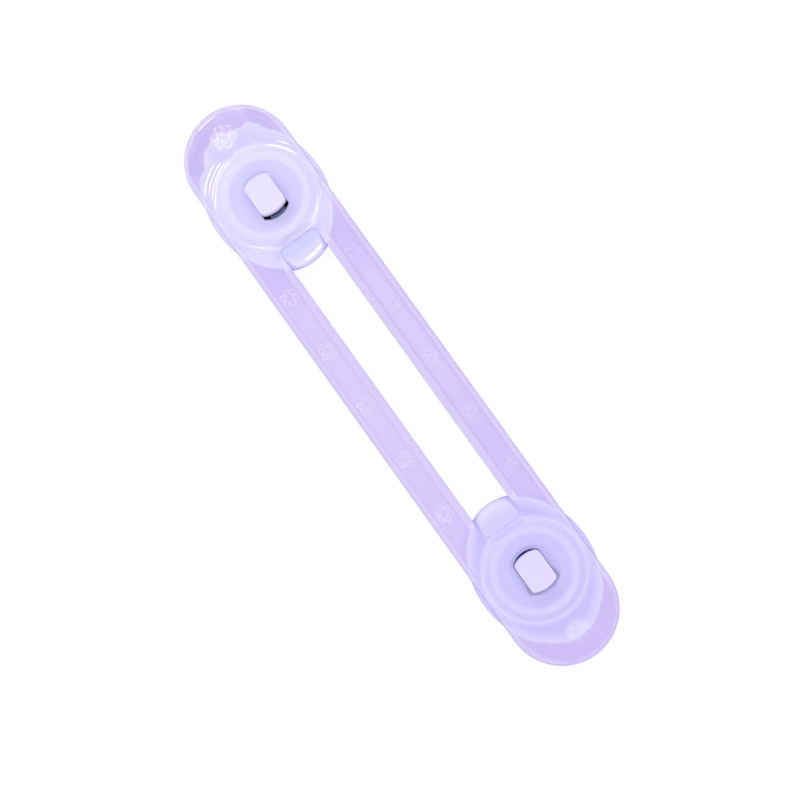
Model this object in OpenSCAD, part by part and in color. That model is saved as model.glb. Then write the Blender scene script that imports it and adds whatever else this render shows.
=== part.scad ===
// Strap-type cabinet safety lock.
// A soft loop strap hooks over a swivel stud at each end. Each stud turns in an oval base
// that sticks to the furniture with a foam pad. X runs along the strap, Z is up.

/* [Strap] */
// Overall length of the strap
strap_l = 200; // [185:1:240]
// Width of the strap across both rails
strap_w = 34.3; // [33:0.1:42]
// Clear width of the window between the rails
window_w = 13.1; // [9:0.1:15]
// Corner radius of the window
window_corner_r = 1.5; // [0.8:0.1:3]
// Thickness of the strap's web
web_t = 1; // [0.8:0.1:1.6]
// Height of the rims over the strap's underside
rim_h = 1.6; // [1.4:0.1:2.4]
// Width of the rim along the strap's edge
rim_w = 1.6; // [1.2:0.1:2.2]
// Width of the rim round the window
window_rim_w = 2.2; // [1.4:0.1:2.8]

/* [Hub] */
// Distance from each stud axis to the strap's end
hub_inset = 30.8; // [28:0.2:36]
// Height of the hub ring over the strap's web
ring_h = 1.8; // [1.6:0.1:2.4]
// Height of the ring's upright sides, below its crown
ring_edge_h = 0.8; // [0.6:0.1:1.4]
// Thickness of the well's floor inside the hub ring
well_t = 1; // [0.8:0.1:1.6]
// Height of the bead round the hub's hole over the well's floor
bead_h = 0.5; // [0.3:0.1:1]
// Width of the bead round the hub's hole
bead_w = 1; // [0.7:0.1:1.6]
// Thickness of the two hooking lips in the hub's hole
lip_t = 0.8; // [0.5:0.1:1]
// Width of each hooking lip
lip_w = 5.6; // [4:0.1:6.4]

/* [Flowers] */
// Flowers along each rail
rail_flowers = 5; // [1:1:5]
// Spacing of the rail flowers
flower_pitch = 20; // [14:0.5:20]
// Overall diameter of a rail flower
flower_d = 5.8; // [4:0.1:6.4]
// Overall diameter of the flower on each tab
tab_flower_d = 8; // [5:0.1:9]
// Height of the flowers over the web
flower_h = 0.3; // [0.2:0.05:0.6]

/* [Base] */
// Length of the oval base
base_l = 48; // [44:0.5:54]
// Width of the oval base
base_w = 37; // [34.6:0.1:40]
// Height of the base's upright edge
base_edge_h = 1.05; // [0.8:0.05:1.6]
// Thickness of the base at its plateau
base_t = 2.95; // [2.6:0.05:3.6]
// Width of the bevel round the plateau
bevel_w = 3.4; // [2:0.1:4]
// Height of the round boss over the plateau
boss_h = 1.3; // [0.8:0.05:1.6]
// Wall of the boss outside the stud's foot
boss_wall = 0.8; // [0.6:0.1:1.2]

/* [Stud] */
// Length of the stud's head
head_l = 11.9; // [11:0.1:12.4]
// Width of the stud's head across its flats
head_w = 8.9; // [8.6:0.1:9.4]
// Radius of the head's bowed ends
head_end_r = 9; // [8:0.1:12]
// Radius of the head's corners
head_corner_r = 1.5; // [1:0.1:2]
// Height of the head
head_h = 3.3; // [2.4:0.1:4]
// Length of the neck between the head's two hooks
neck_l = 8.4; // [7.6:0.1:8.8]
// Thickness of the foot that keeps the stud in its base
foot_t = 1.2; // [0.9:0.1:1.4]
// Width of the foot's ledge outside the collar
foot_ledge = 2; // [1.4:0.1:2.4]
// Width of the collar's ledge outside the hub's hole
collar_ledge = 0.5; // [0.4:0.05:0.8]

/* [Adhesive pad] */
// Thickness of the foam pad
foam_t = 1; // [0.8:0.1:2]
// Distance of the pad's edge inside the base's edge
foam_inset = 1; // [0.5:0.1:2]
// Thickness of the release liner
liner_t = 0.15; // [0.1:0.05:0.3]

/* [Clearances] */
// Gap between the head's end and the hub's hole
end_gap = 1.35; // [1.1:0.05:1.6]
// Gap between the head's flats and the hub's hole
flat_gap = 0.4; // [0.25:0.05:0.6]
// Gap between the head's end and a hooking lip
lip_gap = 0.35; // [0.3:0.05:0.5]
// Gap between the head's end and the end of the core slot under it
core_gap = 1.05; // [0.7:0.05:1.2]
// Height between the hooking lips and the underside of the head
head_lift = 0.4; // [0.3:0.05:0.8]
// Running clearance of the stud's collar and foot in the base
run_gap = 0.08; // [0.05:0.01:0.1]
// Clearance of the strap over the base
seat_gap = 0.1; // [0.05:0.05:0.3]
// Clearance of the hub's recess round the boss
cap_gap = 0.3; // [0.2:0.05:0.5]

/* [Hidden] */
$fn = 96;
// Overlap that lets a cut pass clean through a face and a joined piece reach into the next
cut = 1;

// Levels over the surface that the lock lies on
foam_z = liner_t;
base_z = foam_z + foam_t;
plateau_z = base_z + base_t;
boss_z = plateau_z + boss_h;
strap_z = plateau_z + seat_gap;
well_z = boss_z + seat_gap;
lip_z = well_z + lip_t;
head_z = lip_z + head_lift;
foot_z = base_z + run_gap;

// Radii round the stud's axis, from the head outwards
lip_r = head_l / 2 + lip_gap;
core_r = head_l / 2 + core_gap;
hole_r = head_l / 2 + end_gap;
collar_r = hole_r + collar_ledge;
bore_r = collar_r + run_gap;
foot_r = collar_r + foot_ledge;
foot_bore_r = foot_r + run_gap;
boss_r = foot_bore_r + boss_wall;
recess_r = boss_r + cap_gap;
ring_r = strap_w / 2 - rim_w;
ring_mid_r = (recess_r + ring_r) / 2;
ring_half_w = (ring_r - recess_r) / 2;
crown_h = ring_h - ring_edge_h;
crown_r = (ring_half_w * ring_half_w + crown_h * crown_h) / (2 * crown_h);
crown_z = strap_z + web_t + ring_h - crown_r;

// Places along and across the strap
hub_x = strap_l / 2 - hub_inset;
window_l = 2 * (hub_x - ring_r);
rail_y = (strap_w / 2 - rim_w + window_w / 2 + window_rim_w) / 2;
tab_flower_x = (hub_x + ring_r + strap_l / 2 - rim_w) / 2;

// Four tangent arcs that make the base's oval: two ends and two flatter sides. They meet on
// slopes of 4 in 3, so that their centres and radii follow from the oval's length and width.
end_x = (base_l - base_w) * 3 / 4;
base_end_r = base_l / 2 - end_x;
side_y = end_x * 4 / 3;
side_r = base_end_r + end_x * 5 / 3;

// Corner arcs of the head, tangent to its flats and to its bowed ends
bow_x = head_end_r - head_l / 2;
corner_y = head_w / 2 - head_corner_r;
corner_reach = head_end_r - head_corner_r;
corner_x = sqrt(corner_reach * corner_reach - corner_y * corner_y) - bow_x;
bow_half_w = corner_y * head_end_r / corner_reach;

// Petals of a flower, on a ring where they touch each other and the round centre
petals = 6;

strap_colour = [0.84, 0.79, 0.97, 0.75];
base_colour = [0.86, 0.83, 0.98, 0.9];
stud_colour = [0.92, 0.89, 1.0];
foam_colour = [0.08, 0.08, 0.1];
liner_colour = [0.95, 0.94, 0.9];

// Flat shapes

// Long shape with fully round ends
module stadium(length, width) {
  square([length - width, width], center = true);
  for (side = [-1, 1]) {
    translate([side * (length - width) / 2, 0]) circle(d = width);
  }
}

// Rectangle with round corners
module round_rect(length, width, r) {
  square([length - 2 * r, width], center = true);
  square([length, width - 2 * r], center = true);
  for (x = [-1, 1], y = [-1, 1]) {
    translate([x * (length / 2 - r), y * (width / 2 - r)]) circle(r = r);
  }
}

// Outline of the window, grown outwards by a margin
module window(margin = 0) {
  round_rect(window_l + 2 * margin, window_w + 2 * margin, window_corner_r + margin);
}

// Six round petals round a centre
module flower(d) {
  petal_r = d / 2 * sin(180 / petals) / (1 + sin(180 / petals));
  for (i = [0 : petals - 1]) {
    rotate(i * 360 / petals) translate([d / 2 - petal_r, 0]) circle(r = petal_r);
  }
  circle(r = d / 2 - petal_r);
}

// Oval of the base, drawn in by an inset
module oval(inset = 0) {
  tangent_x = end_x + (base_end_r - inset) * 3 / 5;
  intersection() {
    translate([0, -side_y]) circle(r = side_r - inset);
    translate([0, side_y]) circle(r = side_r - inset);
    square([2 * tangent_x, base_w], center = true);
  }
  for (side = [-1, 1]) {
    translate([side * end_x, 0]) circle(r = base_end_r - inset);
  }
}

// Outline of the stud's head: two flats, two bowed ends, four round corners
module head_outline() {
  intersection() {
    translate([-bow_x, 0]) circle(r = head_end_r);
    translate([bow_x, 0]) circle(r = head_end_r);
    square([head_l, 2 * bow_half_w], center = true);
  }
  square([2 * corner_x, head_w], center = true);
  for (x = [-1, 1], y = [-1, 1]) {
    translate([x * corner_x, y * corner_y]) circle(r = head_corner_r);
  }
}

// Strap

// Hole of a hub, round at its ends and flat along the head, so that the stud turns with the strap
module hub_hole() {
  intersection() {
    circle(r = hole_r);
    square([2 * hole_r, head_w + 2 * flat_gap], center = true);
  }
}

// Crowned ring and raised bead, turned round the stud's axis
module hub_profile() {
  intersection() {
    translate([ring_mid_r, crown_z]) circle(r = crown_r);
    translate([recess_r, strap_z]) square([2 * ring_half_w, web_t + ring_h]);
  }
  translate([recess_r, strap_z]) square([2 * ring_half_w, web_t]);
  translate([hole_r, well_z]) square([bead_w, well_t + bead_h]);
}

// Floor of the well between the ring and the stud's head
module well_floor() {
  translate([0, 0, well_z]) linear_extrude(well_t) difference() {
    circle(r = ring_mid_r);
    hub_hole();
  }
}

// Two lips at the ends of the hole that hook under the stud's head
module hooking_lips() {
  translate([0, 0, well_z]) linear_extrude(lip_t) difference() {
    intersection() {
      circle(r = hole_r + bead_w / 2);
      square([2 * (hole_r + bead_w), lip_w], center = true);
    }
    circle(r = lip_r);
  }
}

module hub() {
  rotate_extrude() hub_profile();
  well_floor();
  hooking_lips();
}

module strap_band() {
  linear_extrude(web_t) difference() {
    stadium(strap_l, strap_w);
    window();
  }
  linear_extrude(rim_h) difference() {
    stadium(strap_l, strap_w);
    stadium(strap_l - 2 * rim_w, strap_w - 2 * rim_w);
  }
  linear_extrude(rim_h) difference() {
    window(window_rim_w);
    window();
  }
}

module strap_flowers() {
  linear_extrude(web_t + flower_h) {
    for (i = [0 : rail_flowers - 1], side = [-1, 1]) {
      translate([(i - (rail_flowers - 1) / 2) * flower_pitch, side * rail_y]) flower(flower_d);
    }
    for (side = [-1, 1]) {
      translate([side * tab_flower_x, 0]) flower(tab_flower_d);
    }
  }
}

module strap() {
  color(strap_colour) {
    difference() {
      translate([0, 0, strap_z]) {
        strap_band();
        strap_flowers();
      }
      for (side = [-1, 1]) {
        translate([side * hub_x, 0, strap_z - cut]) cylinder(r = recess_r, h = rim_h + 2 * cut);
      }
    }
    for (side = [-1, 1]) {
      translate([side * hub_x, 0, 0]) hub();
    }
  }
}

// Base

// Round plate with an upright edge and a bevel, less its middle
module bevelled_ring(r) {
  inner_r = r - bevel_w - cut;
  rotate_extrude() polygon([
    [inner_r, 0], [r, 0], [r, base_edge_h], [r - bevel_w, base_t], [inner_r, base_t]
  ]);
}

// One arc of the oval's band: the stretch of a bevelled ring between two slopes of 4 in 3
module end_band(side) {
  translate([side * end_x, 0, 0]) intersection() {
    bevelled_ring(base_end_r);
    linear_extrude(base_t) polygon([[0, 0], side * base_l * [3, -4], side * base_l * [3, 4]]);
  }
}

module side_band(side) {
  translate([0, -side * side_y, 0]) intersection() {
    bevelled_ring(side_r);
    linear_extrude(base_t) polygon([[0, 0], side * base_l * [3, 4], side * base_l * [-3, 4]]);
  }
}

module base_plate() {
  translate([0, 0, base_z]) {
    linear_extrude(base_t) oval(bevel_w + cut / 2);
    for (side = [-1, 1]) {
      end_band(side);
      side_band(side);
    }
  }
}

module base() {
  color(base_colour) difference() {
    union() {
      base_plate();
      translate([0, 0, base_z]) cylinder(r = boss_r, h = base_t + boss_h);
    }
    translate([0, 0, base_z - cut]) cylinder(r = bore_r, h = base_t + boss_h + 2 * cut);
    translate([0, 0, base_z - cut]) cylinder(r = foot_bore_r, h = cut + foot_t + 2 * run_gap);
  }
}

// Stud

// Two openings through the collar and foot, where the mould forms the underside of the head
module core_slots() {
  translate([0, 0, foot_z - cut]) linear_extrude(boss_z - foot_z + 2 * cut) difference() {
    intersection() {
      circle(r = core_r);
      square([2 * core_r, head_w], center = true);
    }
    square([neck_l, head_w + cut], center = true);
  }
}

module stud() {
  color(stud_colour) {
    difference() {
      union() {
        translate([0, 0, foot_z]) cylinder(r = foot_r, h = foot_t);
        translate([0, 0, foot_z]) cylinder(r = collar_r, h = boss_z - foot_z);
      }
      core_slots();
    }
    translate([0, 0, foot_z]) linear_extrude(head_z - foot_z + head_h) intersection() {
      head_outline();
      square([neck_l, head_w], center = true);
    }
    translate([0, 0, head_z]) linear_extrude(head_h) head_outline();
  }
}

// Adhesive pad

module foam_pad() {
  color(foam_colour) translate([0, 0, foam_z]) linear_extrude(foam_t) oval(foam_inset);
}

module liner() {
  color(liner_colour) linear_extrude(liner_t) oval(foam_inset);
}

// Places a piece on the stud axis of one end of the strap
module at_hub(side) {
  translate([side * hub_x, 0, 0]) children();
}

module left_base() { at_hub(-1) base(); }
module right_base() { at_hub(1) base(); }
module left_stud() { at_hub(-1) stud(); }
module right_stud() { at_hub(1) stud(); }
module left_foam_pad() { at_hub(-1) foam_pad(); }
module right_foam_pad() { at_hub(1) foam_pad(); }
module left_liner() { at_hub(-1) liner(); }
module right_liner() { at_hub(1) liner(); }

strap();
left_base();
right_base();
left_stud();
right_stud();
left_foam_pad();
right_foam_pad();
left_liner();
right_liner();
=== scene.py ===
"""Looks of the strap-type cabinet safety lock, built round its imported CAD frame.

Shapes are worked out in millimetres and become metres when a mesh is made.
"""

import math

import bmesh
import bpy
import numpy as np
from mathutils import Matrix, Vector
from mathutils.geometry import delaunay_2d_cdt


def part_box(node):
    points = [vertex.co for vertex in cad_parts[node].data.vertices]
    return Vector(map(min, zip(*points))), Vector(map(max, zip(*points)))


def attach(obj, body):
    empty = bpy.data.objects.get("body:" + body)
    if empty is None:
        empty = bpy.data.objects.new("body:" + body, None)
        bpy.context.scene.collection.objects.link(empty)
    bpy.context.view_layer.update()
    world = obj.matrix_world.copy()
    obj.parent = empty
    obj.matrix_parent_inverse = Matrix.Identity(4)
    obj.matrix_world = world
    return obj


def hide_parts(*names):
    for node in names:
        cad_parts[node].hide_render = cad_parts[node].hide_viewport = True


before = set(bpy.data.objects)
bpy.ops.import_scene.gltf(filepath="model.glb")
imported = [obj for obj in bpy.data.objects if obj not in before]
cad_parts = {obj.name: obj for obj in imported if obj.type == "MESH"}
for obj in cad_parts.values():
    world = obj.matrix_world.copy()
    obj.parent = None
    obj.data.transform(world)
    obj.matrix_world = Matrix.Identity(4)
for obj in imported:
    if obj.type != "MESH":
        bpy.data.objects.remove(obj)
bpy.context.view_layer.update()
MM = 0.001


def node_box(node):
    """Lowest and highest corner of a CAD node, in millimetres."""
    low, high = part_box(node)
    return np.array(low) / MM, np.array(high) / MM


# Sizes that the frame gives

strap_low, strap_high = node_box("strap")
STRAP_L, STRAP_W = (strap_high - strap_low)[:2]
STRAP_Z = strap_low[2]

stud_low, stud_high = node_box("right_stud")
HUB_X = (stud_low[0] + stud_high[0]) / 2
FOOT_R = (stud_high[0] - stud_low[0]) / 2
FOOT_Z, HEAD_TOP_Z = stud_low[2], stud_high[2]

base_low, base_high = node_box("right_base")
BASE_L, BASE_W = (base_high - base_low)[:2]
BASE_Z, BOSS_Z = base_low[2], base_high[2]

# Sizes of the strap

WEB_T = 1.0
RIM_H = 1.6
RIM_W = 1.6
WINDOW_RIM_W = 2.2
RIM_BLEND = 0.75
EDGE_R = 0.5
UNDER_EDGE_R = 0.3
TAPER_W, TAPER_H = 2.4, 1.05
WINDOW_W = 13.1
WINDOW_CORNER_R = 1.5
WEB_Z = STRAP_Z + WEB_T
RIM_Z = STRAP_Z + RIM_H

# Sizes of the hub

HOLE_R = 7.3
LEFT_END_R, RIGHT_END_R = 7.3, 6.45
LEFT_HUG, RIGHT_HUG = 0.05, 0.22
BEAD_W, BEAD_H = 1.0, 0.15
RECESS_R = 10.98
RING_R = STRAP_W / 2 - RIM_W
RING_FOOT_R = RING_R + 1.1
RING_MID_R = (RECESS_R + RING_R) / 2 - 0.8
RING_RISE = 1.55
WELL_R = 10.3
WELL_UNDER_Z = BOSS_Z + 0.1
WELL_Z = WELL_UNDER_Z + 1.0
LIP_R, LIP_W, LIP_T = 6.3, 5.6, 0.8
WINDOW_L = 2 * (HUB_X - RING_R)

# Sizes of the flowers

PETALS = 6
RAIL_FLOWERS, FLOWER_PITCH, FLOWER_D = 5, 20.0, 5.8
TAB_FLOWER_D = 8.0
PETAL_LINE_H, TAB_PETAL_LINE_H = 0.24, 0.2
RAIL_Y = (STRAP_W / 2 - RIM_W + WINDOW_W / 2 + WINDOW_RIM_W) / 2
TAB_FLOWER_X = (HUB_X + RING_R + STRAP_L / 2 - RIM_W) / 2

# Shallow folds that the pull leaves round the left hub: radius, turn from the tab's axis, half span

FOLDS = (
    (18.4, 38, 24), (17.1, 36, 26), (16.1, 34, 30), (16.3, -13, 18),
    (17.0, -55, 14), (16.9, -119, 16), (16.7, 128, 16),
)
FOLD_H, FOLD_W = 0.22, 0.42

# Sizes of the base and the stud

BASE_EDGE_H, BASE_T, BEVEL_RUN = 1.05, 2.95, 4.8
BOSS_R, BORE_R, FOOT_BORE_R = 10.68, 7.88, 9.88
PLATEAU_Z = BASE_Z + BASE_T
FOOT_SEAT_Z = BASE_Z + 1.36
HEAD_L, HEAD_W, HEAD_END_R, HEAD_CORNER_R = 11.9, 8.9, 9.0, 1.5
HEAD_H, NECK_L, FOOT_T = 3.3, 8.4, 1.2
COLLAR_R, CORE_R = 7.8, 7.0
HEAD_Z = HEAD_TOP_Z - HEAD_H
BOW_X = HEAD_END_R - HEAD_L / 2
CORNER_Y = HEAD_W / 2 - HEAD_CORNER_R
CORNER_REACH = HEAD_END_R - HEAD_CORNER_R
CORNER_X = math.sqrt(CORNER_REACH**2 - CORNER_Y**2) - BOW_X


# Outlines, as arrays of points


def arc(x, y, r, start, end, steps):
    """Points of an arc in degrees, without its last point."""
    a = np.radians(start + (end - start) * np.arange(steps) / steps)
    return np.stack([x + r * np.cos(a), y + r * np.sin(a)], axis=1)


def line(p, q, step):
    """Points of a straight stretch, without its last point."""
    p, q = np.array(p), np.array(q)
    steps = max(1, math.ceil(np.linalg.norm(q - p) / step))
    return p + (q - p) * (np.arange(steps) / steps)[:, None]


def circle(x, r, steps):
    return arc(x, 0, r, 0, 360, steps)


def stadium(inset, step):
    """The strap's outline, drawn in by an inset."""
    x, r = (STRAP_L - STRAP_W) / 2, STRAP_W / 2 - inset
    steps = math.ceil(math.pi * STRAP_W / 2 / step)
    return np.concatenate([
        arc(x, 0, r, -90, 90, steps),
        line((x, r), (-x, r), step),
        arc(-x, 0, r, 90, 270, steps),
        line((-x, -r), (x, -r), step),
    ])


def window(margin, step):
    """The window's outline, grown by a margin."""
    r = WINDOW_CORNER_R + margin
    x, y = WINDOW_L / 2 - WINDOW_CORNER_R, WINDOW_W / 2 - WINDOW_CORNER_R
    steps = 8
    return np.concatenate([
        arc(x, y, r, 0, 90, steps),
        line((x, y + r), (-x, y + r), step),
        arc(-x, y, r, 90, 180, steps),
        line((-x - r, y), (-x - r, -y), step),
        arc(-x, -y, r, 180, 270, steps),
        line((-x, -y - r), (x, -y - r), step),
        arc(x, -y, r, 270, 360, steps),
        line((x + r, -y), (x + r, y), step),
    ])


def hub_hole(x, margin):
    """The hole in a hub, grown by a margin: round by the window, close to the head elsewhere."""
    end_r, hug = (LEFT_END_R, LEFT_HUG) if x < 0 else (RIGHT_END_R, RIGHT_HUG)
    grown = hug + margin
    r, half_w = end_r + margin, HEAD_W / 2 + grown
    a = math.degrees(math.asin(half_w / r))
    flat_x = -r * math.cos(math.radians(a))
    steps, step = 40, 0.4
    tip = head_outline(-grown)
    tip = tip[tip[:, 0] > 0]
    tip = tip[np.argsort(np.arctan2(tip[:, 1], tip[:, 0]))]
    outline = np.concatenate([
        tip,
        line(tip[-1], (flat_x, half_w), step)[1:],
        arc(0, 0, r, 180 - a, 180 + a, steps),
        line((flat_x, -half_w), tip[0], step),
    ])
    return outline * (math.copysign(1, x), 1) + (x, 0)


def oval(inset):
    """The base's outline of four tangent arcs that meet on slopes of 4 in 3, drawn in by an inset."""
    end_x = (BASE_L - BASE_W) * 3 / 4
    end_r = BASE_L / 2 - end_x
    side_y, side_r = end_x * 4 / 3, end_r + end_x * 5 / 3
    a = math.degrees(math.atan2(4, 3))
    steps = 48
    return np.concatenate([
        arc(end_x, 0, end_r - inset, -a, a, steps),
        arc(0, -side_y, side_r - inset, a, 180 - a, steps),
        arc(-end_x, 0, end_r - inset, 180 - a, 180 + a, steps),
        arc(0, side_y, side_r - inset, 180 + a, 360 - a, steps),
    ])


def head_outline(inset):
    """The stud head's outline: two flats, two bowed ends and four round corners."""
    a = math.degrees(math.asin(CORNER_Y / CORNER_REACH))
    bow_r, corner_r, flat_y = HEAD_END_R - inset, HEAD_CORNER_R - inset, HEAD_W / 2 - inset
    steps = 14
    flat = 2.0
    return np.concatenate([
        arc(-BOW_X, 0, bow_r, -a, a, 2 * steps),
        arc(CORNER_X, CORNER_Y, corner_r, a, 90, steps),
        line((CORNER_X, flat_y), (-CORNER_X, flat_y), flat),
        arc(-CORNER_X, CORNER_Y, corner_r, 90, 180 - a, steps),
        arc(BOW_X, 0, bow_r, 180 - a, 180 + a, 2 * steps),
        arc(-CORNER_X, -CORNER_Y, corner_r, 180 + a, 270, steps),
        line((-CORNER_X, -flat_y), (CORNER_X, -flat_y), flat),
        arc(CORNER_X, -CORNER_Y, corner_r, 270, 360 - a, steps),
    ])


# Mesh building


class Shell:
    """Points and faces of one piece, gathered in millimetres."""

    def __init__(self):
        self.points = []
        self.faces = []
        self.count = 0

    def add(self, points, faces):
        self.points.append(np.asarray(points, float))
        self.faces += [tuple(int(i) + self.count for i in face) for face in faces]
        self.count += len(points)

    def loft(self, loops, closed=False, cap=False):
        """Joins loops of equally many points; closed joins last to first, cap fills the last."""
        size, rows = len(loops[0]), len(loops)
        faces = []
        for row in range(rows if closed else rows - 1):
            here, there = row * size, (row + 1) % rows * size
            for i in range(size):
                j = (i + 1) % size
                faces.append((here + i, here + j, there + j, there + i))
        points = np.concatenate(loops)
        if cap:
            middle = len(points)
            points = np.concatenate([points, [loops[-1].mean(axis=0)]])
            last = (rows - 1) * size
            faces += [(last + i, last + (i + 1) % size, middle) for i in range(size)]
        self.add(points, faces)

    def piece(self, name, finish, sharp_angle=38):
        """Makes a smooth-shaded object of what was gathered, with sharp edges kept sharp."""
        weld = 1e-6
        mesh = bpy.data.meshes.new(name)
        points = np.concatenate(self.points) * MM
        mesh.from_pydata(points.tolist(), [], self.faces)
        work = bmesh.new()
        work.from_mesh(mesh)
        bmesh.ops.remove_doubles(work, verts=work.verts, dist=weld)
        bmesh.ops.recalc_face_normals(work, faces=work.faces)
        work.to_mesh(mesh)
        work.free()
        mesh.polygons.foreach_set("use_smooth", [True] * len(mesh.polygons))
        mesh.set_sharp_from_angle(angle=math.radians(sharp_angle))
        made = bpy.data.objects.new(name, mesh)
        bpy.context.scene.collection.objects.link(made)
        mesh.materials.append(finish)
        return made


def raised(outline, z):
    return np.column_stack([outline, np.full(len(outline), z)])


def fill(rims, inner_points, inside):
    """Triangulates the area within the rims through the inner points. Rim points come first."""
    points = np.concatenate(rims + [inner_points])
    edges = []
    start = 0
    for rim in rims:
        size = len(rim)
        edges += [(start + i, start + (i + 1) % size) for i in range(size)]
        start += size
    close = 1e-6
    found = delaunay_2d_cdt([Vector(p) for p in points], edges, [], 0, close)
    spots = np.array([tuple(p) for p in found[0]])
    triangles = np.array(found[2])
    keep = inside(spots[triangles].mean(axis=1))
    return spots, triangles[keep]


def thin_out(families, gap):
    """Joins families of points, leaving out a point that falls in a cell another family holds."""
    held = {}
    kept = []
    for family, points in enumerate(families):
        for p in points:
            cell = (round(p[0] / gap), round(p[1] / gap))
            if held.setdefault(cell, family) == family:
                kept.append(p)
    return np.array(kept)


def slab(shell, outline, holes, low, high):
    """A flat plate with upright holes."""
    rims = [outline] + holes

    def inside(spots):
        return within(spots, outline) & ~np.any([within(spots, hole) for hole in holes], axis=0)

    spots, triangles = fill(rims, np.zeros((0, 2)), inside)
    shell.add(raised(spots, high), triangles)
    shell.add(raised(spots, low), triangles[:, ::-1])
    for rim in rims:
        shell.loft([raised(rim, low), raised(rim, high)])


def within(spots, outline):
    """Which spots lie inside a closed outline."""
    x, y = spots[:, 0, None], spots[:, 1, None]
    x0, y0 = outline[:, 0], outline[:, 1]
    x1, y1 = np.roll(x0, -1), np.roll(y0, -1)
    crosses = (y0 > y) != (y1 > y)
    rise = np.where(y1 == y0, 1.0, y1 - y0)
    return (crosses & (x < (x1 - x0) * (y - y0) / rise + x0)).sum(axis=1) % 2 == 1


# Shader graphs


class Wire:
    """An output socket that takes part in Python sums."""

    def __init__(self, graph, socket):
        self.graph = graph
        self.socket = socket

    def __add__(self, other):
        return self.graph.math("ADD", self, other)

    def __radd__(self, other):
        return self.graph.math("ADD", other, self)

    def __sub__(self, other):
        return self.graph.math("SUBTRACT", self, other)

    def __rsub__(self, other):
        return self.graph.math("SUBTRACT", other, self)

    def __mul__(self, other):
        return self.graph.math("MULTIPLY", self, other)

    def __rmul__(self, other):
        return self.graph.math("MULTIPLY", other, self)


class Graph:
    """A node tree with one method that adds any node."""

    def __init__(self, tree):
        self.tree = tree
        tree.nodes.clear()

    def node(self, kind, settings=None, inputs=None, output=0):
        made = self.tree.nodes.new("ShaderNode" + kind)
        for key, value in (settings or {}).items():
            setattr(made, key, value)
        for key, value in (inputs or {}).items():
            if isinstance(value, Wire):
                self.tree.links.new(value.socket, made.inputs[key])
            else:
                made.inputs[key].default_value = value
        return Wire(self, made.outputs[output]) if made.outputs else made

    def math(self, operation, *values):
        return self.node("Math", {"operation": operation}, dict(enumerate(values)))

    def blend(self, factor, a, b):
        """A colour between a and b."""
        return self.node("Mix", {"data_type": "RGBA"}, {0: factor, 6: a, 7: b}, 2)

    def step(self, value, start, end):
        """A smooth rise from 0 at start to 1 at end, or a fall where start is the larger."""
        low, high = min(start, end), max(start, end)
        inputs = {"Value": value, 1: low, 2: high, 3: float(start > end), 4: float(start < end)}
        return self.node("MapRange", {"interpolation_type": "SMOOTHSTEP"}, inputs)

    def place(self):
        return self.node("TexCoord", output="Object")

    def along(self, place, direction):
        """Distance of a place along a direction, in millimetres."""
        inputs = {0: place, 1: [v / MM for v in direction]}
        return self.node("VectorMath", {"operation": "DOT_PRODUCT"}, inputs, "Value")

    def length(self, a, b):
        return self.math("SQRT", a * a + b * b)

    def noise(self, place, scale, detail=2.0):
        return self.node("TexNoise", None, {"Vector": place, "Scale": scale, "Detail": detail})

    def bump(self, height, strength, distance):
        inputs = {"Height": height, "Strength": strength, "Distance": distance}
        return self.node("Bump", None, inputs)

    def surface(self, shader):
        self.node("OutputMaterial", None, {"Surface": shader})


def new_material(name):
    made = bpy.data.materials.new(name)
    made.use_nodes = True
    return made, Graph(made.node_tree)


def tone(red, green, blue):
    """Linear colour of a screen colour from 0 to 255."""
    levels = [v / 255 for v in (red, green, blue)]
    return tuple(v / 12.92 if v <= 0.04045 else ((v + 0.055) / 1.055) ** 2.4 for v in levels) + (1.0,)


# Finishes

NO_GLOW = (0.0, 0.0, 0.0, 1.0)
X_AXIS, Y_AXIS, Z_AXIS = (1, 0, 0), (0, 1, 0), (0, 0, 1)


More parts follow.
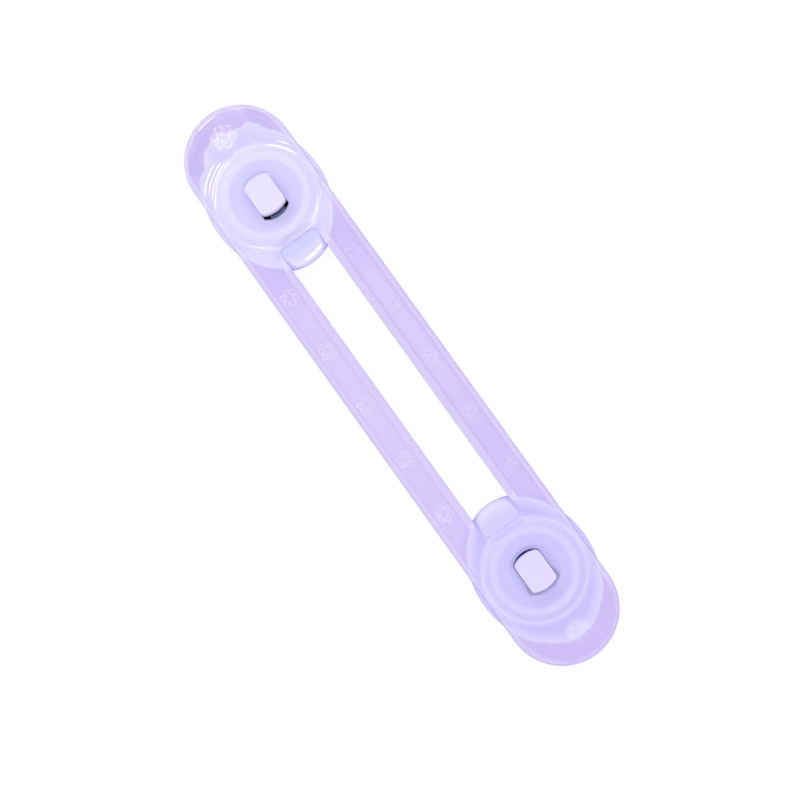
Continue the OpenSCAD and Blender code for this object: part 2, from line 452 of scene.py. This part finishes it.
def lilac_rubber():
    """Soft lilac rubber, with light and shade painted into its colour: paler where the base shows through
    it, deeper over air, slate shade on the thin lips, pale highlight lines and dark shade lines.
    """
    material, graph = new_material("lilac_rubber")
    place = graph.place()
    x, y, z = [graph.along(place, axis) for axis in (X_AXIS, Y_AXIS, Z_AXIS)]
    past_hub = graph.math("ABSOLUTE", x) - HUB_X
    from_middle = graph.math("ABSOLUTE", y)
    from_stud = graph.length(past_hub, y)
    on_left = graph.step(x, -35, -50)
    on_upper = graph.step(y, -1, 1)
    on_tab = graph.step(past_hub, 12, 19)
    cloud = graph.noise(place, 60.0)
    tear = graph.noise(place, 150.0)
    ripple = graph.noise(place, 260.0)
    grain = graph.noise(place, 900.0)

    # Where the base lies behind the rubber, as a share of the base's oval. The colour painted in these
    # zones stands for light: the base seen pale through the rubber, its paler bulge and outline, and a
    # painted shadow band just outside it
    backing = graph.length(past_hub * (2 / BASE_L), y * (2 / BASE_W))
    backing = backing + (tear - 0.5) * on_tab * (0.1 + 0.2 * on_left)
    backed = graph.step(backing, 1.01, 0.95)
    shaded = graph.step(backing, 1.14, 1.0)
    base_bulge = graph.step(backing, 0.8, 0.92) * backed
    base_rim = graph.step(backing, 0.93, 0.97) * graph.step(backing, 1.02, 0.98)

    # Zones of the hub
    on_ring = graph.step(graph.math("ABSOLUTE", from_stud - RING_MID_R), 2.6, 0.8)
    ring_foot = graph.step(graph.math("ABSOLUTE", from_stud - RECESS_R), 0.6, 0.0)
    in_well = graph.step(from_stud, 11.8, 10.0)
    ring_slope = graph.step(from_stud, 13.6, 14.8) * graph.step(from_stud, 17.0, 15.8)
    ring_line = graph.step(graph.math("ABSOLUTE", from_stud - RING_R), 0.3, 0.0)
    ring_line = ring_line * graph.step(past_hub, -13, -9)
    ring_end = ring_slope * graph.step(past_hub, -9, -13) * on_left * graph.step(y, -8, 2)
    glossy = on_left * graph.step(from_stud, 14.6, 15.6) * graph.step(past_hub, -21, -9)
    by_window = graph.step(from_middle, 7.4, 7.0) * graph.step(past_hub, -14.8, -15.2)
    window_edge = by_window * graph.step(z, WEB_Z - 0.02, WEB_Z - 0.25)
    lip_foot = from_stud + (1 - on_left) * (HOLE_R - RIGHT_END_R - 0.15)
    on_lip = graph.step(lip_foot, HOLE_R, HOLE_R - 0.1) * graph.step(past_hub, 0, -1)
    on_lip = on_lip * graph.step(from_middle, LIP_W / 2 + 0.15, LIP_W / 2 + 0.05)
    from_bow = graph.length(past_hub + BOW_X, y) - HEAD_END_R
    from_head = graph.math("MAXIMUM", from_bow, from_middle - HEAD_W / 2)
    hole_edge = graph.step(from_head, 1.2, 0.8) * graph.step(past_hub, 1, 4) * (1 - on_left)

    # Zones of the edge, the rails, the rims and the flowers
    past_spine = graph.math("MAXIMUM", graph.math("ABSOLUTE", x) - (STRAP_L - STRAP_W) / 2, 0.0)
    from_spine = graph.length(past_spine, y)
    edge_line = graph.step(from_spine, STRAP_W / 2 - 0.55, STRAP_W / 2 - 0.15)
    off_rail = graph.math("ABSOLUTE", from_middle - RAIL_Y)
    rail_side = graph.step(off_rail, 1.2, 3.8) * (0.35 + 0.55 * on_upper)
    off_tab_flower = graph.length(past_hub - (TAB_FLOWER_X - HUB_X), y)
    on_tab_flower = graph.step(off_tab_flower, 4.6, 3.0)
    flower_zone = graph.math("MAXIMUM", graph.step(off_rail, 3.1, 2.9), on_tab_flower)
    petal_line = graph.step(z, WEB_Z + 0.02, WEB_Z + 0.14) * flower_zone
    faint_petal = petal_line * (1 - 0.5 * on_tab) * (0.3 + 1.1 * ripple) * (1 - 0.4 * on_upper)
    rim_line = graph.step(z, WEB_Z + 0.2, WEB_Z + 0.36) * (1 - flower_zone)
    rim_top = graph.step(z, RIM_Z - 0.1, RIM_Z - 0.04)
    pale_rim = 1 - on_tab * (0.75 - 0.4 * on_left)

    # Fine lines left by the mould, and specks towards the right end
    mould_line, well_ring = 1.1, 0.9
    across = graph.along(place, (-0.812, 0.584, 0.0))
    lines = graph.math("SINE", across * (2 * math.pi / mould_line))
    rings = graph.math("SINE", from_stud * (2 * math.pi / well_ring)) * in_well
    cells = graph.node("TexVoronoi", None, {"Vector": place, "Scale": 130.0})
    specks = graph.step(cells, 0.05, 0.02) * graph.step(x, 30, 50)

    # Tones that differ between the right end and the left one, painted for how the two ends are lit: the
    # hub zones lighter at the left end, the left tab deeper. Over the base these tones are painted light
    # for the pale base seen through the rubber, and the tab's tone is painted shade over air
    tab = graph.blend(on_left, tone(199, 183, 239), tone(188, 174, 238))
    over_base = graph.blend(on_left, tone(200, 188, 245), tone(210, 203, 253))
    window_end = graph.blend(on_left, tone(207, 199, 252), tone(215, 210, 254))
    ring = graph.blend(on_left, tone(214, 208, 255), tone(225, 222, 255))
    well = graph.blend(on_left, tone(205, 198, 249), tone(215, 210, 254))

    # Painted light on the zone over the base: lighter at the left end, paler on the base's bulge, on the
    # tab flower and its petals, and a pale line along the base's outline
    over_base = graph.blend(on_left * (1 - glossy) * 0.7, over_base, tone(222, 217, 254))
    over_base = graph.blend(base_bulge * 0.6, over_base, tone(219, 213, 254))
    over_base = graph.blend(on_tab_flower * ripple * 0.6, over_base, tone(234, 231, 255))
    over_base = graph.blend(petal_line * on_tab * 0.6, over_base, tone(228, 224, 255))
    over_base = graph.blend(base_rim * 0.5, over_base, tone(236, 232, 255))

    colour = graph.blend(cloud + lines * 0.16, tone(210, 196, 245), tone(217, 205, 248))
    # Painted shade: darker towards the right end and along the upper rail, and darker on the rails near
    # the left base
    shade_to_right = graph.step(x, -10, 40) * (0.45 + 0.35 * on_upper)
    colour = graph.blend(shade_to_right, colour, tone(204, 189, 243))
    colour = graph.blend(graph.step(x, -30, -42) * 0.6, colour, tone(200, 185, 243))
    # Painted shade: the tab deeper where only air lies behind it, and a shadow band just outside the
    # base's outline
    colour = graph.blend(on_tab, colour, tab)
    colour = graph.blend(shaded * 0.6, colour, tone(199, 184, 241))
    # Painted shade in a trough along each rail, and painted highlight lines on the rim slopes and the
    # petals; the rim tops take a set tone
    colour = graph.blend(rail_side, colour, tone(202, 186, 241))
    colour = graph.blend(rim_line * pale_rim * 0.9, colour, tone(226, 217, 254))
    colour = graph.blend(rim_top * pale_rim, colour, tone(213, 201, 247))
    colour = graph.blend(faint_petal, colour, tone(228, 219, 252))
    # Painted light: the pale base seen through the rubber
    colour = graph.blend(backed, colour, over_base)
    # Painted light: the window's tapered end lightened to even out its shade
    colour = graph.blend(window_edge * 0.7, colour, window_end)
    colour = graph.blend(on_ring, colour, ring)
    colour = graph.blend(in_well, colour, well)
    # On the hub, painted light and shade: a dark crease at the ring's inner foot, the ring's outer slope
    # lightened against its shade, and a pale highlight line round the right ring
    colour = graph.blend(ring_foot * 0.25, colour, tone(204, 200, 246))
    colour = graph.blend(ring_slope * (0.55 + 0.15 * on_left), colour, tone(228, 223, 255))
    colour = graph.blend(ring_line * (1 - on_left) * 0.5, colour, tone(236, 232, 255))
    colour = graph.blend((0.5 + 0.5 * rings) * in_well * 0.2, colour, tone(190, 184, 240))
    # Painted shade: a dark line along the strap's edge, a dark shadow line round the right hole, and
    # slate shade on the thin lips where the dark below shows
    colour = graph.blend(edge_line * 0.6, colour, tone(188, 170, 236))
    colour = graph.blend(hole_edge * 0.6, colour, tone(140, 130, 182))
    colour = graph.blend(on_lip, colour, tone(86, 96, 138))
    colour = graph.blend(specks * 0.6, colour, tone(120, 108, 156))

    # A faint glow on the ring's slope, for light that comes through the rubber
    glow = graph.blend(ring_slope, NO_GLOW, (0.01, 0.01, 0.07, 1.0))
    glow = graph.blend(ring_end, glow, (0.07, 0.07, 0.09, 1.0))

    wet = on_tab * on_left * backed
    height = lines * 0.15 + rings * 0.9 + grain * 0.3 + ripple * (0.6 + 16.0 * wet)
    shader = graph.node("BsdfPrincipled", None, {
        "Base Color": colour,
        "Roughness": 0.34 - 0.2 * glossy + grain * 0.05,
        "Normal": graph.bump(height, 0.1, 0.0002),
        "IOR": 1.47,
        "Transmission Weight": 0.1,
        "Coat Weight": glossy,
        "Coat Roughness": 0.05,
        "Coat IOR": 1.65,
        "Emission Color": glow,
        "Emission Strength": 1.0,
    })
    graph.surface(shader)
    return material


def pale_base_plastic():
    """Stiff pale-lilac plastic with a moulded gloss; its bevel painted paler with a faint glow, its very
    edge a painted dark line, and its left end painted darker.
    """
    material, graph = new_material("pale_base_plastic")
    place = graph.place()
    x, y = [graph.along(place, axis) for axis in (X_AXIS, Y_AXIS)]
    cloud = graph.noise(place, 80.0)
    grain = graph.noise(place, 1400.0)
    on_left = graph.step(x, 10, -10)
    past_hub = graph.math("ABSOLUTE", x) - HUB_X
    reach = graph.length(past_hub * (2 / BASE_L), y * (2 / BASE_W))
    bevel = graph.step(reach, 0.78, 0.96) * (0.5 + 0.5 * on_left)
    edge_line = graph.step(reach, 0.975, 0.99)
    # Painted shade: darker at the left end, where the boxes throw more light, with cloud varying the tone
    # at random. Painted light: the bevel paler, more so at the left end. Painted shade: a thin dark line
    # along the very edge
    colour = graph.blend(on_left * 0.8 + cloud * 0.2, tone(203, 196, 252), tone(195, 191, 251))
    colour = graph.blend(bevel, colour, tone(224, 219, 254))
    colour = graph.blend(edge_line * 0.5, colour, tone(176, 166, 234))
    shader = graph.node("BsdfPrincipled", None, {
        "Base Color": colour,
        "Roughness": 0.34 - 0.22 * on_left + grain * 0.06,
        "Normal": graph.bump(grain, 0.02, 0.0001),
        "IOR": 1.49,
        "Coat Weight": on_left * 0.55,
        "Coat Roughness": 0.08,
        "Coat IOR": 1.6,
        "Emission Color": graph.blend(graph.step(reach, 0.8, 0.95), NO_GLOW, (0.03, 0.025, 0.08, 1.0)),
        "Emission Strength": 1.0,
    })
    graph.surface(shader)
    return material


def white_stud_plastic():
    """Satin white plastic of the stud, with a fine spark-eroded grain."""
    material, graph = new_material("white_stud_plastic")
    place = graph.place()
    cloud = graph.noise(place, 120.0)
    grain = graph.noise(place, 2600.0, 3.0)
    on_left = graph.step(graph.along(place, X_AXIS), 10, -10)
    shader = graph.node("BsdfPrincipled", None, {
        # Painted light: lighter at the left end, where the boxes throw more light; cloud varies the tone
        # at random
        "Base Color": graph.blend(on_left * 0.6 + cloud * 0.4, tone(211, 203, 249), tone(223, 216, 253)),
        "Roughness": 0.36 + grain * 0.16,
        "Normal": graph.bump(grain, 0.12, 0.0001),
        "IOR": 1.49,
    })
    graph.surface(shader)
    return material


def black_foam():
    """Closed-cell foam tape, with its cut cells along the edge."""
    material, graph = new_material("black_foam")
    place = graph.place()
    cells = graph.node("TexVoronoi", None, {"Vector": place, "Scale": 2600.0})
    speck = graph.noise(place, 1500.0)
    shader = graph.node("BsdfPrincipled", None, {
        "Base Color": graph.blend(speck, tone(4, 4, 9), tone(22, 22, 30)),
        "Roughness": 0.82 + speck * 0.15,
        "Normal": graph.bump(cells, 0.7, 0.0002),
    })
    graph.surface(shader)
    return material


def liner_paper():
    """Silicone-coated release paper with faint fibres."""
    material, graph = new_material("liner_paper")
    place = graph.place()
    fibre_stretch = (1.0, 6.0, 1.0)
    stretched = graph.node("VectorMath", {"operation": "MULTIPLY"}, {0: place, 1: fibre_stretch})
    fibre = graph.noise(stretched, 900.0, 4.0)
    shader = graph.node("BsdfPrincipled", None, {
        "Base Color": graph.blend(fibre, tone(228, 224, 212), tone(246, 244, 236)),
        "Roughness": 0.34 + fibre * 0.2,
        "Normal": graph.bump(fibre, 0.1, 0.0001),
    })
    graph.surface(shader)
    return material


# Strap


def ease(t):
    """Smooth step from 0 to 1."""
    return 0.5 - 0.5 * np.cos(np.pi * np.clip(t, 0, 1))


def edge_drop(depth, r):
    """How far a rounded edge falls at a depth inside the edge."""
    depth = np.clip(depth, 0, r)
    return r - np.sqrt(r * r - (r - depth) ** 2)


def strap_depths(spots):
    """Distances from the strap's edge, the window's edge, the nearer stud's axis and its hole."""
    x, y = spots[:, 0], spots[:, 1]
    spine = np.clip(x, -(STRAP_L - STRAP_W) / 2, (STRAP_L - STRAP_W) / 2)
    from_edge = STRAP_W / 2 - np.hypot(x - spine, y)
    far_x = np.abs(x) - (WINDOW_L / 2 - WINDOW_CORNER_R)
    far_y = np.abs(y) - (WINDOW_W / 2 - WINDOW_CORNER_R)
    outside = np.hypot(np.clip(far_x, 0, None), np.clip(far_y, 0, None))
    from_window = outside + np.minimum(np.maximum(far_x, far_y), 0) - WINDOW_CORNER_R
    from_stud = np.hypot(np.abs(x) - HUB_X, y)
    past_hub, off_axis = np.abs(x) - HUB_X, np.abs(y)
    end_r = np.where(x < 0, LEFT_END_R, RIGHT_END_R)
    hug = np.where(x < 0, LEFT_HUG, RIGHT_HUG)
    from_bow = np.hypot(past_hub + BOW_X, y) - HEAD_END_R - hug
    from_end = np.where(past_hub > 0, from_bow, from_stud - end_r)
    from_hole = np.maximum(from_end, off_axis - HEAD_W / 2 - hug)
    corner_x, corner_y = past_hub - CORNER_X, off_axis - CORNER_Y
    at_corner = (corner_x > 0) & (corner_y * (CORNER_X + BOW_X) > corner_x * CORNER_Y)
    from_corner = np.hypot(corner_x, corner_y) - HEAD_CORNER_R - hug
    from_hole = np.where(at_corner, from_corner, from_hole)
    from_hole = np.where(from_stud < RING_MID_R, from_hole, from_stud)
    return from_edge, from_window, from_stud, from_hole


def on_strap(spots):
    from_edge, from_window, _, from_hole = strap_depths(spots)
    return (from_edge > 0) & (from_window > 0) & (from_hole > 0)


def flower_spots():
    """Centre and diameter of every flower."""
    middle = (RAIL_FLOWERS - 1) / 2
    rails = [
        ((i - middle) * FLOWER_PITCH, side * RAIL_Y, FLOWER_D)
        for i in range(RAIL_FLOWERS) for side in (-1, 1)
    ]
    return rails + [(side * TAB_FLOWER_X, 0.0, TAB_FLOWER_D) for side in (-1, 1)]


def flower_height(spots):
    """Height of the raised lines that draw the petals."""
    height = np.zeros(len(spots))
    for x, y, d in flower_spots():
        petal_r, line_w = d / 6, d / 30
        line_r = petal_r * 0.8
        line_h = PETAL_LINE_H if d == FLOWER_D else TAB_PETAL_LINE_H
        for i in range(PETALS):
            a = 2 * math.pi * i / PETALS
            reach = d / 2 - petal_r
            off = np.hypot(spots[:, 0] - x - reach * math.cos(a), spots[:, 1] - y - reach * math.sin(a))
            ridge = line_h * np.exp(-(((off - line_r) / line_w) ** 2))
            height = np.maximum(height, ridge)
    return height


def pull_folds(spots):
    """Height of the shallow folds round the left hub, where the stud pulls on it."""
    x, y = spots[:, 0] + HUB_X, spots[:, 1]
    r, turn = np.hypot(x, y), np.degrees(np.arctan2(-y, -x))
    height = np.zeros(len(spots))
    for fold_r, middle, half_span in FOLDS:
        off_middle = np.abs((turn - middle + 180) % 360 - 180)
        reach = ease((half_span - off_middle) / (half_span / 2))
        height = height + FOLD_H * reach * np.exp(-(((r - fold_r) / FOLD_W) ** 2))
    return height


def window_fade(spots):
    """1 along the rails, falling to a trace where the window's end lies on the base."""
    start, run, trace = HUB_X - BASE_L / 2 + 1, 5.5, 0.2
    return 1 - (1 - trace) * ease((np.abs(spots[:, 0]) - start) / run)


def strap_top(spots):
    """Height of the strap's upper face."""
    from_edge, from_window, from_stud, from_hole = strap_depths(spots)
    fade = window_fade(spots)
    rims = np.maximum(
        ease((RIM_W + RIM_BLEND - from_edge) / (2 * RIM_BLEND)),
        ease((WINDOW_RIM_W + RIM_BLEND - from_window) / (2 * RIM_BLEND)) * fade,
    )
    band = WEB_Z + (RIM_Z - WEB_Z) * rims + flower_height(spots)
    ring = WEB_Z + RING_RISE * ease((RING_FOOT_R - from_stud) / (RING_FOOT_R - RING_MID_R))
    well = WELL_Z + (WEB_Z + RING_RISE - WELL_Z) * ease((from_stud - WELL_R) / (RING_MID_R - WELL_R))
    bead_off = np.abs(from_stud - HOLE_R - BEAD_W / 2) / BEAD_W
    well = well + BEAD_H * ease(1 - bead_off)
    z = np.where(from_stud < RING_MID_R, well, np.maximum(band, ring) + pull_folds(spots))
    drop = edge_drop(from_edge, EDGE_R) + edge_drop(from_window, EDGE_R) * fade
    drop = drop + (1 - fade) * TAPER_H * ease(1 - from_window / TAPER_W)
    by_window = (np.abs(spots[:, 0]) < HUB_X) & (np.abs(spots[:, 1]) < HEAD_W / 2)
    return z - drop - np.where(by_window, edge_drop(from_hole, BEAD_W / 4), 0)


def strap_underside(spots):
    """Height of the strap's lower face, with the recess that caps the boss."""
    from_edge, from_window, from_stud, _ = strap_depths(spots)
    wall = 0.1
    step = ease((RECESS_R - from_stud) / wall + 0.5)
    rise = edge_drop(from_edge, UNDER_EDGE_R) + edge_drop(from_window, UNDER_EDGE_R) * window_fade(spots)
    return STRAP_Z + (WELL_UNDER_Z - STRAP_Z) * step + rise


def grid(x0, x1, y0, y1, step):
    xs, ys = np.meshgrid(np.arange(x0, x1, step), np.arange(y0, y1, step))
    xs = xs + (np.arange(xs.shape[0]) % 2)[:, None] * step / 2
    return np.stack([xs.ravel(), ys.ravel()], axis=1)


def strap_rims(step):
    """The closed edges of the strap seen from above."""
    holes = [hub_hole(side * HUB_X, 0) for side in (-1, 1)]
    return [stadium(0, step), window(0, step)] + holes


def make_strap(finish):
    """One closed skin, meshed finely along its edges, hubs, folds and flowers."""
    shell = Shell()
    step, web_step, hub_steps = 0.8, 1.7, 144
    top_gap, under_gap = 0.16, 0.05
    sides = (-1, 1)
    rims = strap_rims(step)
    rim_points = np.concatenate(rims)
    web = grid(-STRAP_L / 2, STRAP_L / 2, -STRAP_W / 2, STRAP_W / 2, web_step)

    def skin(families, gap):
        families = [points[on_strap(points)] for points in families]
        inner = thin_out([rim_points] + families, gap)[len(rim_points):]
        return fill(rims, inner, on_strap)

    rim_rows = np.array([0.04, 0.12, 0.25, 0.4, 0.55, 0.85, 1.15, 1.3, 1.45, 1.6, 1.75, 1.9, 2.05, 2.4])
    edge_rows = np.concatenate([stadium(row, step) for row in rim_rows])
    inner_rows = np.where(rim_rows > 1, rim_rows + WINDOW_RIM_W - RIM_W, rim_rows)
    window_rows = np.concatenate([window(row, step) for row in inner_rows])
    on_bead = np.linspace(0, 1, 13)
    bead_rows = HOLE_R + BEAD_W * np.concatenate([[-1, -0.5, -0.25, -0.1], on_bead, [1.1, 1.25, 1.5]])
    well_row = 9.3
    ring_rows = np.linspace(WELL_R, RING_FOOT_R + 0.3, 40)
    hub_rows = np.concatenate([bead_rows, [well_row], ring_rows])
    hole_rows = (0.04, 0.1, 0.18, 0.26)
    hubs = np.concatenate(
        [hub_hole(side * HUB_X, row) for side in sides for row in hole_rows]
        + [circle(side * HUB_X, r, hub_steps) for side in sides for r in hub_rows]
    )
    margin, flower_cells = 0.2, 42
    flowers = np.concatenate([
        grid(
            x - d / 2 - margin, x + d / 2 + margin,
            y - d / 2 - margin, y + d / 2 + margin, d / flower_cells,
        )
        for x, y, d in flower_spots()
    ])
    fold_rows, fold_steps = np.arange(15.4, 19.4, 0.12), 160
    folds = np.concatenate([circle(-HUB_X, r, fold_steps) for r in fold_rows])
    spots, triangles = skin([edge_rows, window_rows, hubs, flowers, folds, web], top_gap)
    shell.add(np.column_stack([spots, strap_top(spots)]), triangles)

    under_rows = (0.08, 0.2, 0.35)
    under_edge = np.concatenate([stadium(row, step) for row in under_rows])
    under_window = np.concatenate([window(row, step) for row in under_rows])
    recess_rows = RECESS_R + np.array([-0.6, -0.05, -0.02, 0.02, 0.05, 0.6])
    recesses = np.concatenate([circle(side * HUB_X, r, hub_steps) for side in sides for r in recess_rows])
    spots, triangles = skin([under_edge, under_window, recesses, web], under_gap)
    shell.add(np.column_stack([spots, strap_underside(spots)]), triangles[:, ::-1])

    for rim in rims:
        top = np.column_stack([rim, strap_top(rim)])
        under = np.column_stack([rim, strap_underside(rim)])
        shell.loft([under, top])
    for side in sides:
        for end in sides:
            add_lip(shell, side * HUB_X, end)
    return shell.piece("strap_rubber", finish, sharp_angle=50)


def add_lip(shell, x, end):
    """A hooking lip at one end of a hub's hole, rooted in the hub's wall."""
    root_r = HOLE_R + BEAD_W / 2
    root_a = math.degrees(math.asin(LIP_W / 2 / root_r))
    tip_a = math.degrees(math.asin(LIP_W / 2 / LIP_R))
    turn = 0 if end > 0 else 180
    steps = 16
    outline = np.concatenate([
        arc(x, 0, root_r, turn - root_a, turn + root_a, steps),
        arc(x, 0, LIP_R, turn + tip_a, turn - tip_a, steps),
    ])
    slab(shell, outline, [], WELL_UNDER_Z, WELL_UNDER_Z + LIP_T)


# Base


def make_base(name, x, finish):
    """Oval plate with a soft bevel, a round boss and a stepped bore, as one closed loft."""
    edge_z = BASE_Z + BASE_EDGE_H
    round_r, round_mid = 0.2, 0.06
    root_r, root_mid = 0.4, 0.1
    plate = [(round_r, BASE_Z), (round_mid, BASE_Z + round_mid), (0, BASE_Z + round_r)]
    edge_turn = [(0, edge_z - 0.3), (0.04, edge_z - 0.08)]
    bevel_start, bevel_rows = 0.04, 16
    plate += edge_turn
    for t in np.linspace(bevel_start, 1, bevel_rows):
        plate.append((t * BEVEL_RUN, PLATEAU_Z - (PLATEAU_Z - edge_z) * (1 - t) ** 2))
    loops = [raised(oval(inset), z) for inset, z in plate]
    angles = np.arctan2(loops[-1][:, 1], loops[-1][:, 0])
    bore = [(BOSS_R + root_r, PLATEAU_Z), (BOSS_R + root_mid, PLATEAU_Z + root_mid)]
    bore += [(BOSS_R, PLATEAU_Z + root_r), (BOSS_R, BOSS_Z - round_r)]
    bore += [(BOSS_R - round_mid, BOSS_Z - round_mid), (BOSS_R - round_r, BOSS_Z)]
    bore += [(BORE_R + round_r, BOSS_Z), (BORE_R, BOSS_Z - round_r), (BORE_R, FOOT_SEAT_Z)]
    bore += [(FOOT_BORE_R, FOOT_SEAT_Z), (FOOT_BORE_R, BASE_Z)]
    for r, z in bore:
        loops.append(np.column_stack([r * np.cos(angles), r * np.sin(angles), np.full(len(angles), z)]))
    shell = Shell()
    shell.loft([loop + (x, 0, 0) for loop in loops], closed=True)
    return shell.piece(name, finish)


# Stud


def make_stud(name, x, finish):
    """Hooked head on a neck, above a collar and a foot that two core slots pierce."""
    shell = Shell()
    neck = head_outline(0)
    neck[:, 0] = np.clip(neck[:, 0], -NECK_L / 2, NECK_L / 2)
    top_r, hook_edge, crown_inset = 0.35, 0.15, 1.0
    head = [raised(neck, FOOT_Z), raised(neck, HEAD_Z), raised(head_outline(hook_edge), HEAD_Z)]
    head += [raised(head_outline(0), HEAD_Z + hook_edge), raised(head_outline(0), HEAD_TOP_Z - top_r)]
    for turn in np.radians((30, 60, 90)):
        inset = top_r * (1 - math.cos(turn))
        head.append(raised(head_outline(inset), HEAD_TOP_Z - top_r + top_r * math.sin(turn)))
    head.append(raised(head_outline(crown_inset), HEAD_TOP_Z))
    shell.loft([loop + (x, 0, 0) for loop in head], cap=True)

    slots = [core_slot(x, side) for side in (-1, 1)]
    steps = 120
    slab(shell, circle(x, FOOT_R, steps), slots, FOOT_Z, FOOT_Z + FOOT_T)
    slab(shell, circle(x, COLLAR_R, steps), slots, FOOT_Z + FOOT_T / 2, BOSS_Z)
    return shell.piece(name, finish)


def core_slot(x, side):
    """Opening under one end of the head, where the mould forms the hook."""
    a = math.degrees(math.asin(HEAD_W / 2 / CORE_R))
    turn = 0 if side > 0 else 180
    inner = x + side * NECK_L / 2
    half = side * HEAD_W / 2
    steps = 24
    return np.concatenate([
        arc(x, 0, CORE_R, turn - a, turn + a, steps),
        np.array([[x + side * CORE_R * math.cos(math.radians(a)), half], [inner, half], [inner, -half]]),
    ])


# Stage


def make_camera():
    """Nearly straight above, a little towards the right base, with the strap lying diagonally."""
    spot = Vector((28.6, -0.9, 450.6)) * MM
    aim = Vector((4.5, -3.0, 5.0)) * MM
    up_turn = 0.6221
    focal_px, frame_px, sensor = 1485.7, 800, 36.0
    back = (spot - aim).normalized()
    right = Vector((-math.cos(up_turn), math.sin(up_turn), 0)).cross(back).normalized()
    up = back.cross(right)
    data = bpy.data.cameras.new("camera")
    data.lens = focal_px * sensor / frame_px
    data.clip_start = 0.01
    camera = bpy.data.objects.new("camera", data)
    turn = Matrix((right, up, back)).transposed().to_4x4()
    camera.matrix_world = Matrix.Translation(spot) @ turn
    bpy.context.scene.collection.objects.link(camera)
    bpy.context.scene.camera = camera


def white_rays(graph):
    """1 for rays that show the white surroundings to the eye, in a reflection or through the rubber."""
    rays = ("Is Camera Ray", "Is Glossy Ray", "Is Transmission Ray")
    camera, glossy, through = [graph.node("LightPath", output=ray) for ray in rays]
    return graph.math("MAXIMUM", graph.math("MAXIMUM", camera, glossy), through)


def make_floor():
    """Pale floor, white to the eye, with a faint shadow left on it."""
    half, drop = 3.0, 0.0003
    shell = Shell()
    corners = np.array([[-half, -half], [half, -half], [half, half], [-half, half]]) / MM
    shell.add(raised(corners, -drop / MM), [(0, 1, 2, 3)])
    material, graph = new_material("floor_white")
    paper = graph.node("BsdfDiffuse", None, {"Color": (0.9, 0.89, 0.92, 1)})
    glow = graph.node("Emission", None, {"Color": (1, 1, 1, 1), "Strength": 1.02})
    graph.surface(graph.node("MixShader", None, {0: white_rays(graph) * 0.92, 1: paper, 2: glow}))
    shell.piece("floor", material)


def make_light(name, spot, size, watts, aim=(0, 0, 0)):
    data = bpy.data.lights.new(name, "AREA")
    data.shape = "RECTANGLE"
    data.size, data.size_y = size
    data.energy = watts
    light = bpy.data.objects.new(name, data)
    light.location = spot
    light.rotation_euler = (Vector(aim) - Vector(spot)).to_track_quat("-Z", "Y").to_euler()
    bpy.context.scene.collection.objects.link(light)


def make_world():
    world = bpy.data.worlds.new("studio")
    world.use_nodes = True
    graph = Graph(world.node_tree)
    level = 0.5
    strength = level + white_rays(graph) * (1 - level)
    sky = graph.node("Background", None, {"Color": (1, 1, 1, 1), "Strength": strength})
    graph.node("OutputWorld", None, {"Surface": sky})
    bpy.context.scene.world = world


# Build

make_camera()
make_world()
make_floor()

# Soft boxes, placed in metres; those that glint on the left hub aim at its top
hub_top = 0.006
left_hub, right_hub = (-HUB_X * MM, 0, hub_top), (HUB_X * MM, 0, hub_top)
make_light("over_box", (0.0, 0.0, 0.7), (0.5, 0.5), 0.5)
make_light("fill_box", (0.33, -0.22, 0.32), (0.3, 0.3), 0.2, right_hub)
make_light("side_box", (-0.373, -0.161, 0.3), (0.3, 0.12), 0.56, left_hub)
make_light("top_box", (-0.32, 0.218, 0.3), (0.15, 0.12), 0.28, left_hub)
make_light("near_box", (0.232, 0.053, 0.3), (0.18, 0.08), 0.26, left_hub)
make_light("gap_box", (-0.392, 0.069, 0.3), (0.12, 0.07), 0.12, left_hub)
for side in (-1, 1):
    make_light("flank_box", (0.074, 0.205 * side, 0.33), (0.12, 0.06), 0.1, left_hub)

rubber = lilac_rubber()
base_plastic = pale_base_plastic()
stud_plastic = white_stud_plastic()
foam = black_foam()
paper = liner_paper()

strap = make_strap(rubber)
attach(strap, "strap")
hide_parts("strap")

for hand, x in (("left", -HUB_X), ("right", HUB_X)):
    base = make_base(hand + "_base_plate", x, base_plastic)
    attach(base, hand + "_base")
    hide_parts(hand + "_base")
    stud = make_stud(hand + "_stud_pin", x, stud_plastic)
    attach(stud, hand + "_stud")
    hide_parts(hand + "_stud")
    for node, finish in ((hand + "_foam_pad", foam), (hand + "_liner", paper)):
        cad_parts[node].data.materials.clear()
        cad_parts[node].data.materials.append(finish)

bpy.context.scene.view_settings.view_transform = "Standard"
